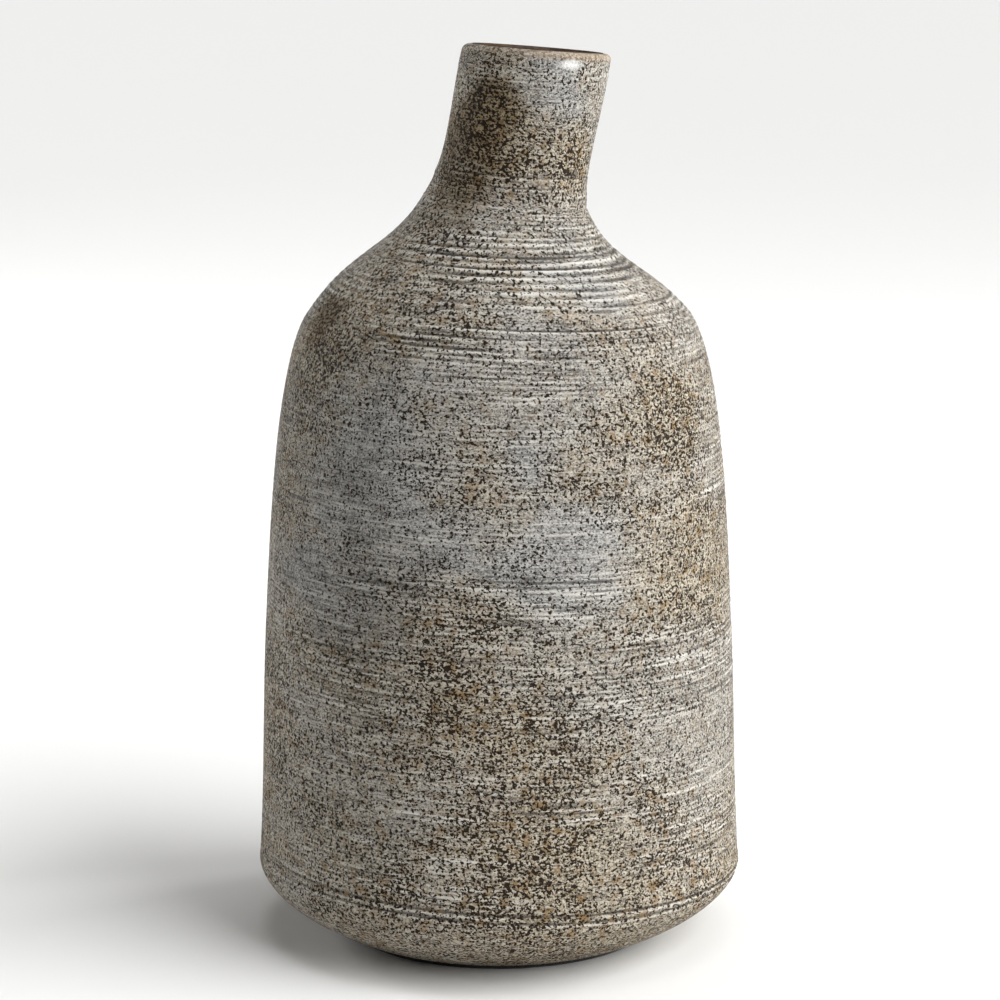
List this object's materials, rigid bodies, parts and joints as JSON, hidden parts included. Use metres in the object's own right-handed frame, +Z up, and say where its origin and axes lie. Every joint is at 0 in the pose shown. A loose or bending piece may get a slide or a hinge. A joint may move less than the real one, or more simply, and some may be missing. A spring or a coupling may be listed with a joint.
{
  "type": "bottle vase",
  "caption": "Stoneware bottle vase with combed, speckled walls, a rounded shoulder and a short neck that leans to one side.",
  "frame": {"origin": "centre of the underside, on the surface that the vase stands on", "axes": "+Z up along the body's axis, +X the way the neck leans, +Y to the back"},
  "size_m": [0.143, 0.143, 0.2622],
  "materials": {
    "felt": "black felt, matt",
    "stoneware": "matt speckled stoneware, combed",
    "raw_clay": "unglazed fired clay, matt",
    "slip": "fired slip, matt",
    "liner": "dark brown liner glaze, glossy"
  },
  "bodies": {
    "root": {"base_pad": "felt", "base_dish": "stoneware", "base_coil": "raw_clay", "body_wall": "stoneware", "shoulder_dome": "stoneware", "neck_tube": "stoneware", "lip_ring": "stoneware", "base_slip": "slip", "shoulder_slip": "slip", "neck_slip": "slip", "lip_slip": "slip", "liner_glaze": "liner"}
  },
  "joints": []
}
